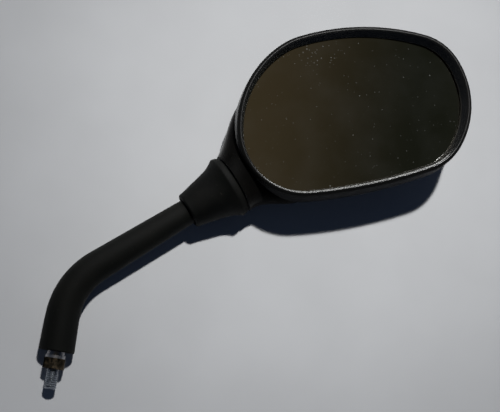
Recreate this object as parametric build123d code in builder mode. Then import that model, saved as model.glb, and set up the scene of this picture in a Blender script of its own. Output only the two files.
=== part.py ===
from build123d import *
import os
from math import asin, atan2, cos, degrees, hypot, radians, sin, sqrt, tan

# Rear-view mirror for a two-wheeler, in millimetres.
# The origin is on the stud's axis at the lock nut's lower face. The stud points down,
# the arm bends towards +X and the glass looks towards -Y.

# Fits
PRESS_GAP = 0.02
RUN_GAP = 0.05
SNAP_GAP = 0.1
FREE_GAP = 0.3

# Stud, nut and spring washer, M8
THREAD_RADIUS = 4.0
STUD_LENGTH = 12.5
STUD_RELIEF = 0.2
STUD_CHAMFER = 1.0
NUT_ACROSS_FLATS = 13.0
NUT_HEIGHT = 6.8
NUT_CHAMFER = 0.9
NUT_CHAMFER_ANGLE = 30.0
WASHER_RADIUS = 6.2
WASHER_THICKNESS = 2.0
WASHER_SLIT = 1.2

# Arm: up the stud's axis, round one bend, then straight to the ball
ARM_RISE = 40.8
BEND_CORNER = 54.2
BEND_RADIUS = 47.0
ROD_RADIUS = 5.4
ROD_NECK_RADIUS = 3.5
ROD_NECK_LENGTH = 14.0
ROD_TAPER_LENGTH = 8.0
SLEEVE_START = 11.0
SLEEVE_START_RADIUS = 11.3
SLEEVE_END_RADIUS = 8.2
SLEEVE_EDGE = 0.8

# Rubber boot, as distances along the arm from the path's corner, and radii
BOOT_START = 88.6
BOOT_LENGTH = 34.3
BOOT_OVERLAP = 8.0
BOOT_LIP_RADIUS = 11.9
BOOT_LIP_BORE = 8.8
BOOT_CONE_SHARES = (0.24, 0.45, 0.66)
BOOT_CONE_NEAR = 1.4
BOOT_CONE_MIDDLE = 3.1
BOOT_CONE_FAR = 5.0
BOOT_BEAD_RADIUS = 20.7
BOOT_BEAD_WIDTH = 3.0
BOOT_BEAD_FALL = 2.4
BOOT_BEAD_CORNER = 0.7
BOOT_WALL = 2.2
PLUG_LENGTH = 2.5
PLUG_GAP = 1.1
BOOT_REVEAL = 0.7

# Ball joint
BALL_DEPTH = 24.0
BALL_RADIUS = 7.0
LINER_WALL = 2.0
LINER_SPLIT = 0.4
TILT_LIMIT = 12.0
TILT_MARGIN = 4.0
CLAMP_WALL = 2.4
CLAMP_RADIUS = 12.2
CLAMP_GAP = 1.0
EAR_THICKNESS = 4.0
EAR_RADIUS = 5.0
SCREW_SPACING = 33.0
SCREW_RADIUS = 2.0
SCREW_HEAD_RADIUS = 3.6
SCREW_HEAD_HEIGHT = 2.2
SCREW_ENGAGEMENT = 9.0
SCREW_WASHER_RADIUS = 4.0
SCREW_WASHER_THICKNESS = 0.8
CROSS_LENGTH = 4.2
CROSS_WIDTH = 1.0
CROSS_DEPTH = 1.2
SPRING_HEIGHT = 4.0
SPRING_RADIUS = 3.3
SPRING_WIRE = 0.45
SPRING_TURNS = 3.0
BOSS_RADIUS = 4.4

# Head: the rim's outline is four corner arcs joined by four long arcs, all tangent.
# Near is the boot's side, far the other, low and high as the head hangs
HEAD_RUN = 64.42114
HEAD_RISE = -2.29721
HEAD_TURN = 17.0
LOW_NEAR_X = -35.2
LOW_NEAR_Y = -8.9
LOW_NEAR_RADIUS = 42.3
LOW_FAR_X = 37.0
LOW_FAR_Y = -9.3
LOW_FAR_RADIUS = 36.1
HIGH_FAR_X = 40.5
HIGH_FAR_Y = 12.1
HIGH_FAR_RADIUS = 35.5
HIGH_NEAR_X = -21.7
HIGH_NEAR_Y = 13.3
HIGH_NEAR_RADIUS = 40.6
LOW_SIDE_RADIUS = 335.7
FAR_SIDE_RADIUS = 55.9
HIGH_SIDE_RADIUS = 149.4
NEAR_SIDE_RADIUS = 66.5
BEZEL_FRONT = -24.0
BEZEL_BACK = -18.5
BEZEL_CREST = 2.2
BEZEL_LIP = 5.3
BEZEL_LIP_SHIFT_X = -0.8
BEZEL_LIP_SHIFT_Y = -0.4
BEZEL_LIP_EDGE = 0.6
BEZEL_LIP_BACK = -16.6
BEZEL_ROUND = 1.6
SKIRT_WALL = 1.5
SKIRT_DEPTH = 4.8
GROOVE = 0.5
GLASS_INSET = 4.3
GLASS_THICKNESS = 2.0
GLASS_CURVE = 1200.0
GLASS_REACH = 46.0
FOAM_INSET = 10.0
FOAM_BACK = -13.0
HOUSING_FRONT = BEZEL_BACK + GROOVE
HOUSING_WALL = 2.4
HOUSING_BACK = 23.4
HOUSING_DOME = 210.0
HOUSING_BACK_ROUND = 16.0
HOUSING_WAIST_ROUND = 20.0
HOUSING_WAIST = -5.0
HOUSING_WAIST_GROW = 0.6
HOUSING_BACK_GROW = -1.5
NECK_RADIUS = 20.3
NECK_MID_RUN = 11.0
NECK_MID_SHIFT = 3.1
NECK_MID_ACROSS = 25.3
NECK_MID_DEEP = 17.6
NECK_END_RUN = 28.0
NECK_END_SHIFT = 5.0
NECK_END_ACROSS = 36.5
NECK_END_DEEP = 14.5
NECK_ROOT_RUN = 42.0
NECK_ROOT_SHIFT = 6.0
NECK_ROOT_ACROSS = 37.0
NECK_ROOT_DEEP = 12.5
NEAR_RIB = -14.0
FAR_RIB = 34.0
RIB_THICKNESS = 2.0
RIB_GAP = 0.1

os.makedirs("parts", exist_ok=True)

# Directions in the arm's plane
arm_turn = radians(ARM_RISE)
arm_dir = Vector(cos(arm_turn), 0, sin(arm_turn))
side_dir = Vector(-sin(arm_turn), 0, cos(arm_turn))
head_turn = radians(HEAD_TURN)
front_dir = Vector(0, -1, 0)

rim_corners = (
    (LOW_NEAR_X, LOW_NEAR_Y, LOW_NEAR_RADIUS),
    (LOW_FAR_X, LOW_FAR_Y, LOW_FAR_RADIUS),
    (HIGH_FAR_X, HIGH_FAR_Y, HIGH_FAR_RADIUS),
    (HIGH_NEAR_X, HIGH_NEAR_Y, HIGH_NEAR_RADIUS),
)
rim_sides = (LOW_SIDE_RADIUS, FAR_SIDE_RADIUS, HIGH_SIDE_RADIUS, NEAR_SIDE_RADIUS)

neck_mouth = BOOT_START + BOOT_LENGTH + BOOT_REVEAL
ball_reach = neck_mouth + BALL_DEPTH
sleeve_end = BOOT_START + BOOT_OVERLAP


def arm_point(reach):
    """The point on the arm's axis this far past the path's corner."""
    return Vector(0, 0, BEND_CORNER) + arm_dir * reach


def arm_plane(reach):
    """The plane square to the arm there: its x is up the arm's side, its y is to the front."""
    return Plane(arm_point(reach), x_dir=side_dir, z_dir=arm_dir)


def arm_side_plane(reach):
    """The arm's own plane seen from the front: x along the arm, y up the arm's side."""
    return Plane(arm_point(reach), x_dir=arm_dir, z_dir=front_dir)


def head_point(depth):
    """The head's middle at this depth, which keeps its place past the ball and beside the arm."""
    middle = arm_point(ball_reach + HEAD_RUN) + side_dir * HEAD_RISE
    return Vector(middle.X, depth, middle.Z)


def head_plane(depth, shift_x=0.0, shift_y=0.0):
    """The head's plane at this depth, with x along the head and y up it, and its middle shifted."""
    along = Vector(cos(head_turn), 0, sin(head_turn))
    up = Vector(-sin(head_turn), 0, cos(head_turn))
    middle = head_point(depth) + along * shift_x + up * shift_y
    return Plane(middle, x_dir=along, z_dir=front_dir)


def ball_plane(depth):
    """The plane in front of the ball's centre: x along the arm, y up the arm's side."""
    centre = arm_point(ball_reach)
    return Plane(Vector(centre.X, depth, centre.Z), x_dir=arm_dir, z_dir=front_dir)


def side_centre(place):
    """Centre of the long arc that follows this corner."""
    ax, ay, ar = rim_corners[place]
    bx, by, br = rim_corners[(place + 1) % 4]
    span = hypot(bx - ax, by - ay)
    reach_a = rim_sides[place] - ar
    reach_b = rim_sides[place] - br
    along = (reach_a**2 - reach_b**2 + span**2) / (2 * span)
    inward = sqrt(reach_a**2 - along**2)
    ux = (bx - ax) / span
    uy = (by - ay) / span
    return ax + ux * along - uy * inward, ay + uy * along + ux * inward


def bearing(start, end):
    """Direction in degrees from one point to another."""
    return degrees(atan2(end[1] - start[1], end[0] - start[0]))


def rim_face(grow):
    """The rim's outline, moved out by grow, as a face in the open sketch."""
    with BuildLine() as outline:
        for place, (x, y, radius) in enumerate(rim_corners):
            before = side_centre(place - 1)
            after = side_centre(place)
            start = bearing(before, (x, y))
            sweep_angle = (bearing(after, (x, y)) - start) % 360
            CenterArc((x, y), radius + grow, start, sweep_angle)
            start = bearing(after, (x, y))
            sweep_angle = (bearing(after, rim_corners[(place + 1) % 4]) - start) % 360
            CenterArc(after, rim_sides[place] + grow, start, sweep_angle)
    make_face(outline.edges())


# Bent steel rod with its threaded stud and a thinner neck behind the ball
shoulder = NUT_HEIGHT + WASHER_THICKNESS + 2 * RUN_GAP
rod_taper_start = ball_reach - ROD_NECK_LENGTH - ROD_TAPER_LENGTH
neck_angle = degrees(atan2(ROD_RADIUS - ROD_NECK_RADIUS, ROD_TAPER_LENGTH))
with BuildPart() as arm_rod:
    with BuildLine() as rod_path:
        Polyline((0, 0, shoulder), (0, 0, BEND_CORNER), arm_point(rod_taper_start))
        fillet(rod_path.vertices().sort_by(Axis.Z)[1], BEND_RADIUS)
    with BuildSketch(Plane.XY.offset(shoulder)):
        Circle(ROD_RADIUS)
    sweep()
    with BuildSketch(arm_plane(rod_taper_start)):
        Circle(ROD_RADIUS)
    extrude(amount=ROD_TAPER_LENGTH, taper=neck_angle)
    with BuildSketch(arm_plane(ball_reach - ROD_NECK_LENGTH)):
        Circle(ROD_NECK_RADIUS)
    extrude(amount=ROD_NECK_LENGTH + BALL_RADIUS / 2)
    with BuildSketch(Plane.XY):
        Circle(THREAD_RADIUS - STUD_RELIEF)
    extrude(amount=shoulder)
    with BuildSketch(Plane.XY):
        Circle(THREAD_RADIUS)
    extrude(amount=-STUD_LENGTH)
    chamfer(arm_rod.edges().sort_by(Axis.Z)[0], STUD_CHAMFER)
arm_rod.part.label = "arm_rod"
export_step(arm_rod.part, "parts/arm_rod.step")

# Moulded cover over the rod, tapering from the stud to the boot
with BuildPart() as arm_sleeve:
    with BuildLine() as sleeve_path:
        Polyline((0, 0, SLEEVE_START), (0, 0, BEND_CORNER), arm_point(sleeve_end))
        fillet(sleeve_path.vertices().sort_by(Axis.Z)[1], BEND_RADIUS)
    with BuildSketch(Plane.XY.offset(SLEEVE_START)):
        Circle(SLEEVE_START_RADIUS)
    with BuildSketch(arm_plane(sleeve_end)):
        Circle(SLEEVE_END_RADIUS)
    sweep(multisection=True)
    fillet(arm_sleeve.edges().sort_by(Axis.Z)[0], SLEEVE_EDGE)
    with BuildSketch(Plane.XY.offset(SLEEVE_START)):
        Circle(ROD_RADIUS + PRESS_GAP)
    sweep(path=sleeve_path.line, mode=Mode.SUBTRACT)
arm_sleeve.part.label = "arm_sleeve"
export_step(arm_sleeve.part, "parts/arm_sleeve.step")

# Split spring washer
with BuildPart() as lock_washer:
    with BuildSketch(Plane.XY.offset(NUT_HEIGHT + RUN_GAP)):
        Circle(WASHER_RADIUS)
        Circle(THREAD_RADIUS + RUN_GAP, mode=Mode.SUBTRACT)
        with Locations((0, WASHER_RADIUS)):
            Rectangle(WASHER_SLIT, 2 * (WASHER_RADIUS - STUD_RELIEF), mode=Mode.SUBTRACT)
    extrude(amount=WASHER_THICKNESS)
lock_washer.part.label = "lock_washer"
export_step(lock_washer.part, "parts/lock_washer.step")

# Lock nut with chamfered corners
nut_corner = NUT_ACROSS_FLATS / sqrt(3)
with BuildPart() as lock_nut:
    with BuildSketch(Plane.XY):
        RegularPolygon(nut_corner, 6, rotation=30)
    extrude(amount=NUT_HEIGHT)
    with BuildSketch(Plane.XZ):
        with BuildLine():
            slope = NUT_CHAMFER * tan(radians(NUT_CHAMFER_ANGLE))
            Polyline(
                (0, 0),
                (nut_corner - NUT_CHAMFER, 0),
                (nut_corner, slope),
                (nut_corner, NUT_HEIGHT - slope),
                (nut_corner - NUT_CHAMFER, NUT_HEIGHT),
                (0, NUT_HEIGHT),
                close=True,
            )
        make_face()
    revolve(axis=Axis.Z, mode=Mode.INTERSECT)
    with BuildSketch(Plane.XY):
        Circle(THREAD_RADIUS + RUN_GAP)
    extrude(amount=NUT_HEIGHT, mode=Mode.SUBTRACT)
lock_nut.part.label = "lock_nut"
export_step(lock_nut.part, "parts/lock_nut.step")

# Rubber boot: lip round the sleeve, flaring cone, bead and a plug inside the neck
neck_bore = NECK_RADIUS - HOUSING_WALL
plug_radius = neck_bore - PLUG_GAP
bead_place = BOOT_LENGTH - BOOT_BEAD_WIDTH
cone_rises = (BOOT_CONE_NEAR, BOOT_CONE_MIDDLE, BOOT_CONE_FAR)
cone_places = [
    (share * BOOT_LENGTH, BOOT_LIP_RADIUS + rise)
    for share, rise in zip(BOOT_CONE_SHARES, cone_rises)
]
lip_round = (BOOT_LIP_RADIUS - BOOT_LIP_BORE) / 2
with BuildPart() as boot:
    with BuildSketch(arm_side_plane(BOOT_START)):
        with BuildLine():
            lip = RadiusArc((lip_round, BOOT_LIP_BORE), (lip_round, BOOT_LIP_RADIUS), lip_round)
            cone = Spline(lip @ 1, *cone_places, (bead_place, BOOT_BEAD_RADIUS))
            bead = ThreePointArc(
                cone @ 1,
                (BOOT_LENGTH - BOOT_BEAD_CORNER, BOOT_BEAD_RADIUS - BOOT_BEAD_CORNER),
                (BOOT_LENGTH, BOOT_BEAD_RADIUS - BOOT_BEAD_FALL),
            )
            plug_end = BOOT_LENGTH + BOOT_REVEAL + PLUG_LENGTH
            inside = Polyline(
                bead @ 1,
                (BOOT_LENGTH, plug_radius),
                (plug_end, plug_radius),
                (plug_end, plug_radius - BOOT_WALL),
                (BOOT_LENGTH, plug_radius - BOOT_WALL),
            )
            inner = [(x, y - BOOT_WALL) for x, y in reversed(cone_places)]
            Spline(inside @ 1, *inner, lip @ 0)
        make_face()
    revolve(axis=Axis(arm_point(BOOT_START), arm_dir))
boot.part.label = "boot"
export_step(boot.part, "parts/boot.step")

# Ball on the rod's end
ball_centre = arm_point(ball_reach)
with BuildPart() as pivot_ball:
    with Locations(ball_centre):
        Sphere(BALL_RADIUS)
    with BuildSketch(arm_plane(ball_reach - BALL_RADIUS)):
        Circle(ROD_NECK_RADIUS + PRESS_GAP)
    extrude(amount=1.5 * BALL_RADIUS + PRESS_GAP, mode=Mode.SUBTRACT)
pivot_ball.part.label = "pivot_ball"
export_step(pivot_ball.part, "parts/pivot_ball.step")

# The cone that every shell round the ball leaves open for the rod
liner_bore = BALL_RADIUS + FREE_GAP
liner_radius = liner_bore + LINER_WALL
socket_radius = liner_radius + FREE_GAP
rod_angle = degrees(asin(ROD_NECK_RADIUS / BALL_RADIUS)) + TILT_LIMIT + TILT_MARGIN
with BuildPart() as rod_cone:
    with BuildSketch(arm_side_plane(ball_reach)):
        with BuildLine():
            cone_run = BALL_DEPTH
            cone_radius = cone_run * tan(radians(rod_angle))
            Polyline((0, 0), (-cone_run, cone_radius), (-cone_run, 0), close=True)
        make_face()
    revolve(axis=Axis(ball_centre, arm_dir))

# Two plastic half shells between the ball and its socket
for name, facing in (("ball_liner_front", 1), ("ball_liner_back", -1)):
    with BuildPart() as liner:
        with Locations(ball_centre):
            Sphere(liner_radius)
            Sphere(liner_bore, mode=Mode.SUBTRACT)
        with BuildSketch(ball_plane(-facing * LINER_SPLIT / 2)):
            Rectangle(4 * liner_radius, 4 * liner_radius)
        extrude(amount=facing * 2 * liner_radius, mode=Mode.INTERSECT)
        add(rod_cone.part, mode=Mode.SUBTRACT)
    liner.part.label = name
    export_step(liner.part, f"parts/{name}.step")

# Clamp plate pressed on the ball from the glass side
ear_front = CLAMP_GAP + EAR_THICKNESS
screw_places = [(0, -SCREW_SPACING / 2), (0, SCREW_SPACING / 2)]
with BuildPart() as ball_clamp:
    with BuildSketch(ball_plane(-CLAMP_GAP)):
        Circle(CLAMP_RADIUS)
    extrude(amount=socket_radius + CLAMP_WALL - CLAMP_GAP)
    with BuildSketch(ball_plane(-CLAMP_GAP)):
        SlotCenterToCenter(SCREW_SPACING, 2 * EAR_RADIUS, rotation=90)
    extrude(amount=EAR_THICKNESS)
    with Locations(ball_centre):
        Sphere(socket_radius, mode=Mode.SUBTRACT)
    with BuildSketch(ball_plane(-CLAMP_GAP)):
        with Locations(*screw_places):
            Circle(SCREW_RADIUS + FREE_GAP)
    extrude(amount=EAR_THICKNESS, mode=Mode.SUBTRACT)
    add(rod_cone.part, mode=Mode.SUBTRACT)
ball_clamp.part.label = "ball_clamp"
export_step(ball_clamp.part, "parts/ball_clamp.step")

# Springs, washers and screws that hold the clamp
with BuildPart() as clamp_springs:
    spring_rise = SPRING_HEIGHT - 2 * SPRING_WIRE - 2 * RUN_GAP
    spring_start = ear_front + SPRING_WIRE + RUN_GAP
    for x, y in screw_places:
        base = ball_plane(-spring_start).from_local_coords((x, y, 0))
        with BuildLine():
            coil = Helix(spring_rise / SPRING_TURNS, spring_rise, SPRING_RADIUS, base, front_dir)
        with BuildSketch(Plane(coil @ 0, z_dir=coil % 0)):
            Circle(SPRING_WIRE)
        sweep(path=coil, is_frenet=True)
clamp_springs.part.label = "clamp_springs"
export_step(clamp_springs.part, "parts/clamp_springs.step")

washer_back = ear_front + SPRING_HEIGHT
with BuildPart() as clamp_washers:
    with BuildSketch(ball_plane(-washer_back)):
        with Locations(*screw_places):
            Circle(SCREW_WASHER_RADIUS)
            Circle(SCREW_RADIUS + SNAP_GAP, mode=Mode.SUBTRACT)
    extrude(amount=SCREW_WASHER_THICKNESS)
clamp_washers.part.label = "clamp_washers"
export_step(clamp_washers.part, "parts/clamp_washers.step")

head_back = washer_back + SCREW_WASHER_THICKNESS + RUN_GAP
boss_front = CLAMP_GAP
with BuildPart() as clamp_screws:
    with BuildSketch(ball_plane(-head_back)):
        with Locations(*screw_places):
            Circle(SCREW_HEAD_RADIUS)
    extrude(amount=SCREW_HEAD_HEIGHT)
    with BuildSketch(ball_plane(-head_back)):
        with Locations(*screw_places):
            Circle(SCREW_RADIUS)
    extrude(amount=-(head_back + boss_front + SCREW_ENGAGEMENT))
    with BuildSketch(ball_plane(-head_back - SCREW_HEAD_HEIGHT)):
        with Locations(*screw_places):
            Rectangle(CROSS_LENGTH, CROSS_WIDTH)
            Rectangle(CROSS_WIDTH, CROSS_LENGTH)
    extrude(amount=-CROSS_DEPTH, mode=Mode.SUBTRACT)
clamp_screws.part.label = "clamp_screws"
export_step(clamp_screws.part, "parts/clamp_screws.step")

# Housing: a domed bowl with a flared neck, as a solid form and the hollow inside it
housing_sections = (
    (HOUSING_FRONT, 0.0),
    (HOUSING_WAIST, HOUSING_WAIST_GROW),
    (HOUSING_BACK, HOUSING_BACK_GROW),
)
neck_sections = (
    (NECK_MID_RUN, NECK_MID_SHIFT, NECK_MID_ACROSS, NECK_MID_DEEP),
    (NECK_END_RUN, NECK_END_SHIFT, NECK_END_ACROSS, NECK_END_DEEP),
    (NECK_ROOT_RUN, NECK_ROOT_SHIFT, NECK_ROOT_ACROSS, NECK_ROOT_DEEP),
)
bowls = []
for inset in (0.0, HOUSING_WALL):
    with BuildPart() as bowl:
        for depth, grow in housing_sections:
            with BuildSketch(head_plane(depth)):
                rim_face(grow - inset)
        loft(ruled=True)
        with Locations(head_point(HOUSING_BACK - HOUSING_DOME)):
            Sphere(HOUSING_DOME - inset, mode=Mode.INTERSECT)
        back = bowl.faces().filter_by(GeomType.SPHERE).edges()
        fillet(back, HOUSING_BACK_ROUND - inset)
        waist = bowl.edges().group_by(lambda edge: abs(edge.center().Y - HOUSING_WAIST))[0]
        fillet(waist, HOUSING_WAIST_ROUND - inset)
        with BuildSketch(arm_plane(neck_mouth)):
            Circle(NECK_RADIUS - inset)
        for run, shift, across, deep in neck_sections:
            with BuildSketch(arm_plane(neck_mouth + run)):
                with Locations((shift, 0)):
                    Ellipse(across - inset, deep - inset)
        loft()
    bowls.append(bowl.part)
housing_form, housing_hollow = bowls

# Socket, screw bosses and ribs that stand inside the bowl
rib_front = FOAM_BACK + RIB_GAP
with BuildPart() as housing_inside:
    with BuildSketch(ball_plane(boss_front)):
        Circle(CLAMP_RADIUS)
        with Locations(*screw_places):
            Circle(BOSS_RADIUS)
        Rectangle(2 * HOUSING_WALL, SCREW_SPACING)
    extrude(amount=-HOUSING_BACK)
    with BuildSketch(head_plane(rib_front)):
        for place in (NEAR_RIB, FAR_RIB):
            with Locations((place, 0)):
                Rectangle(RIB_THICKNESS, 4 * GLASS_REACH)
    extrude(amount=-2 * HOUSING_BACK)
    add(housing_form, mode=Mode.INTERSECT)
    with Locations(ball_centre):
        Sphere(socket_radius, mode=Mode.SUBTRACT)
    add(rod_cone.part, mode=Mode.SUBTRACT)

with BuildPart() as housing:
    add(housing_form)
    add(housing_hollow, mode=Mode.SUBTRACT)
    with BuildSketch(head_plane(HOUSING_FRONT)):
        rim_face(-HOUSING_WALL)
    extrude(amount=HOUSING_FRONT - rib_front, mode=Mode.SUBTRACT)
    add(housing_inside.part)
    with BuildSketch(head_plane(HOUSING_FRONT)):
        rim_face(FREE_GAP)
    extrude(amount=SKIRT_DEPTH, mode=Mode.SUBTRACT)
    with BuildSketch(ball_plane(boss_front)):
        with Locations(*screw_places):
            Circle(SCREW_RADIUS + PRESS_GAP)
    extrude(amount=-SCREW_ENGAGEMENT - SNAP_GAP, mode=Mode.SUBTRACT)
housing.part.label = "housing"
export_step(housing.part, "parts/housing.step")

# Bezel: a rim with a sloping inner lip and a skirt that snaps into the bowl
skirt_outer = HOUSING_WALL + SNAP_GAP
with BuildPart() as bezel:
    with BuildSketch(head_plane(BEZEL_BACK)):
        rim_face(0.0)
    extrude(amount=BEZEL_BACK - BEZEL_FRONT)
    outer_edges = bezel.faces().sort_by(Axis.Y)[0].edges()
    fillet(outer_edges, BEZEL_ROUND)
    with BuildSketch(head_plane(BEZEL_BACK)):
        rim_face(-skirt_outer)
    extrude(amount=-SKIRT_DEPTH)
    with BuildSketch(head_plane(BEZEL_BACK + SKIRT_DEPTH)):
        rim_face(-skirt_outer - SKIRT_WALL)
    extrude(amount=BEZEL_BACK + SKIRT_DEPTH - BEZEL_LIP_BACK, mode=Mode.SUBTRACT)
    with BuildSketch(head_plane(BEZEL_LIP_BACK, BEZEL_LIP_SHIFT_X, BEZEL_LIP_SHIFT_Y)):
        rim_face(-BEZEL_LIP)
    extrude(amount=BEZEL_LIP_EDGE, mode=Mode.SUBTRACT)
    lip_front = BEZEL_LIP_BACK - BEZEL_LIP_EDGE
    with BuildSketch(head_plane(lip_front, BEZEL_LIP_SHIFT_X, BEZEL_LIP_SHIFT_Y)):
        rim_face(-BEZEL_LIP)
    with BuildSketch(head_plane(BEZEL_FRONT)):
        rim_face(-BEZEL_CREST)
    loft(ruled=True, mode=Mode.SUBTRACT)
bezel.part.label = "bezel"
export_step(bezel.part, "parts/bezel.step")

# Convex mirror glass and the foam pad glued behind it
glass_top = BEZEL_LIP_BACK + RUN_GAP - GLASS_REACH**2 / (2 * GLASS_CURVE)
glass_centre = head_point(glass_top + GLASS_CURVE)
with BuildPart() as mirror_glass:
    with BuildSketch(head_plane(FOAM_BACK)):
        rim_face(-GLASS_INSET)
    extrude(amount=FOAM_BACK - BEZEL_FRONT)
    with Locations(glass_centre):
        Sphere(GLASS_CURVE, mode=Mode.INTERSECT)
        Sphere(GLASS_CURVE - GLASS_THICKNESS, mode=Mode.SUBTRACT)
mirror_glass.part.label = "mirror_glass"
export_step(mirror_glass.part, "parts/mirror_glass.step")

with BuildPart() as foam_pad:
    with BuildSketch(head_plane(FOAM_BACK)):
        rim_face(-FOAM_INSET)
    extrude(amount=FOAM_BACK - BEZEL_FRONT)
    with Locations(glass_centre):
        Sphere(GLASS_CURVE - GLASS_THICKNESS - PRESS_GAP, mode=Mode.INTERSECT)
foam_pad.part.label = "foam_pad"
export_step(foam_pad.part, "parts/foam_pad.step")
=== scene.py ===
from math import cos, pi, radians, sin, tan

import bpy
import numpy as np
from bpy.props import FloatProperty, FloatVectorProperty, PointerProperty
from bpy.types import Operator, Panel, PropertyGroup
from mathutils import Matrix, Vector


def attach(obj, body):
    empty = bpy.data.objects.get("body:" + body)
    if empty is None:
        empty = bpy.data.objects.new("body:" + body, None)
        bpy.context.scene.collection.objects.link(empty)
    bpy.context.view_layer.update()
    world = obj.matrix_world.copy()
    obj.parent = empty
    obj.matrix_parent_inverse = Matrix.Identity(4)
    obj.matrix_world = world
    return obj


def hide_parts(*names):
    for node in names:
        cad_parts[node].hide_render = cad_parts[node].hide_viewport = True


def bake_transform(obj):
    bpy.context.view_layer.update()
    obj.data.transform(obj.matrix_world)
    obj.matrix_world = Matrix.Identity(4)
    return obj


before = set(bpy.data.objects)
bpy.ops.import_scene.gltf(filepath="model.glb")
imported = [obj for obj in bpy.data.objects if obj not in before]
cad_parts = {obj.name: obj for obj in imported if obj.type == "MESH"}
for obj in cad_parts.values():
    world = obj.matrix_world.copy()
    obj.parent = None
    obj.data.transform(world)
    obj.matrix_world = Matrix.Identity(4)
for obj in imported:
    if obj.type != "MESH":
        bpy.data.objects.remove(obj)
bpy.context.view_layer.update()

bl_info = {
    "name": "Two-wheeler mirror",
    "version": (1, 0, 0),
    "blender": (4, 5, 0),
    "location": "3D View > Sidebar > Mirror",
    "description": "Dresses the packed mirror with its thread, boot, finishes and table",
    "category": "Object",
}

MM = 0.001

# Half widths of the thread's crests and roots, as shares of its pitch.
CREST_HALF = 0.125
ROOT_HALF = 0.0625

# Where the boot's flare passes, as shares of its length, and its rise there over the lip in mm.
FLARE_SHARES = (0.24, 0.45, 0.66)
FLARE_RISES = (1.4, 3.1, 5.0)

# The bezel's round is polished from this share of its turn on, over this much more of the turn.
# Before that it is matt and painted darker as shade.
POLISH_FROM = 0.825
POLISH_SPAN = 0.25

# Painted highlight: a pale line in the dust's colour along the bezel's slope by the glass. Its
# values: the share of the slope where it starts, how strong it is at most, how much of that
# lies on all sides, and the direction (x, z) of the side that has the most.
LIP_LINE_FROM = 0.8
LIP_LINE_MOST = 0.22
LIP_LINE_EVEN = 0.15
LIP_LINE_SIDE = (0.5, -0.87)

# Where the dried drops lie on the glass.
DROPS_PLACE = (0.1345, -0.0170, 0.2300)

# The table's top, which lies under the mirror's back, and its two directions.
TABLE_MIDDLE = (0.10795, 0.01989, 0.12561)
TABLE_ACROSS = (0.98406, 0.04178, 0.17285)
TABLE_UP = (-0.17421, 0.03152, 0.98420)
TABLE_HALF = 0.9

# The card that the glass mirrors: where it shades from its near to its far colour along x, and
# the distances from its middle between which it fades out.
CARD_MIDDLE = (0.27, -0.62, 0.35)
CARD_HALF = 0.9
CARD_SHADE = (0.03, 0.39)
CARD_FADE = (0.4, 0.9)

# Lamps and camera.
LAMP_PLACE = (0.724, -8.104, 4.178)
LAMP_AIM = (0.163, 0.02, 0.206)
POOL_AIM = (0.150, 0.02, 0.224)
EDGE_PLACE = (0.2, -0.45, 0.85)
BACK_PLACE = (0.0, 0.75, 1.0)
CAMERA_PLACE = (0.04155, -0.78538, -0.00473)
CAMERA_RIGHT = (0.98291, -0.10547, 0.15088)
CAMERA_UP = (-0.16524, -0.14429, 0.97564)
CAMERA_BACK = (-0.08113, -0.98390, -0.15926)
SENSOR_WIDTH = 36.0


def linear(code):
    """An sRGB hex code as a linear RGBA colour."""
    parts = np.array([int(code[i : i + 2], 16) for i in (1, 3, 5)]) / 255
    low = parts / 12.92
    high = ((parts + 0.055) / 1.055) ** 2.4
    return (*np.where(parts <= 0.04045, low, high).tolist(), 1.0)


def size(label, words, millimetres):
    """A length property, given in millimetres and kept in metres."""
    return FloatProperty(
        name=label,
        description=words,
        default=millimetres * MM,
        unit="LENGTH",
        precision=5,
    )


def arc(label, words, along, up, radius):
    """A corner of the rim, given in millimetres: its centre along and up the head, its radius."""
    return FloatVectorProperty(
        name=label,
        description=words,
        default=(along * MM, up * MM, radius * MM),
        unit="LENGTH",
        precision=5,
    )


def colour(label, words, code):
    """A colour property, given as an sRGB hex code."""
    return FloatVectorProperty(
        name=label,
        description=words,
        default=linear(code),
        subtype="COLOR",
        size=4,
        min=0.0,
        max=1.0,
    )


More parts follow.
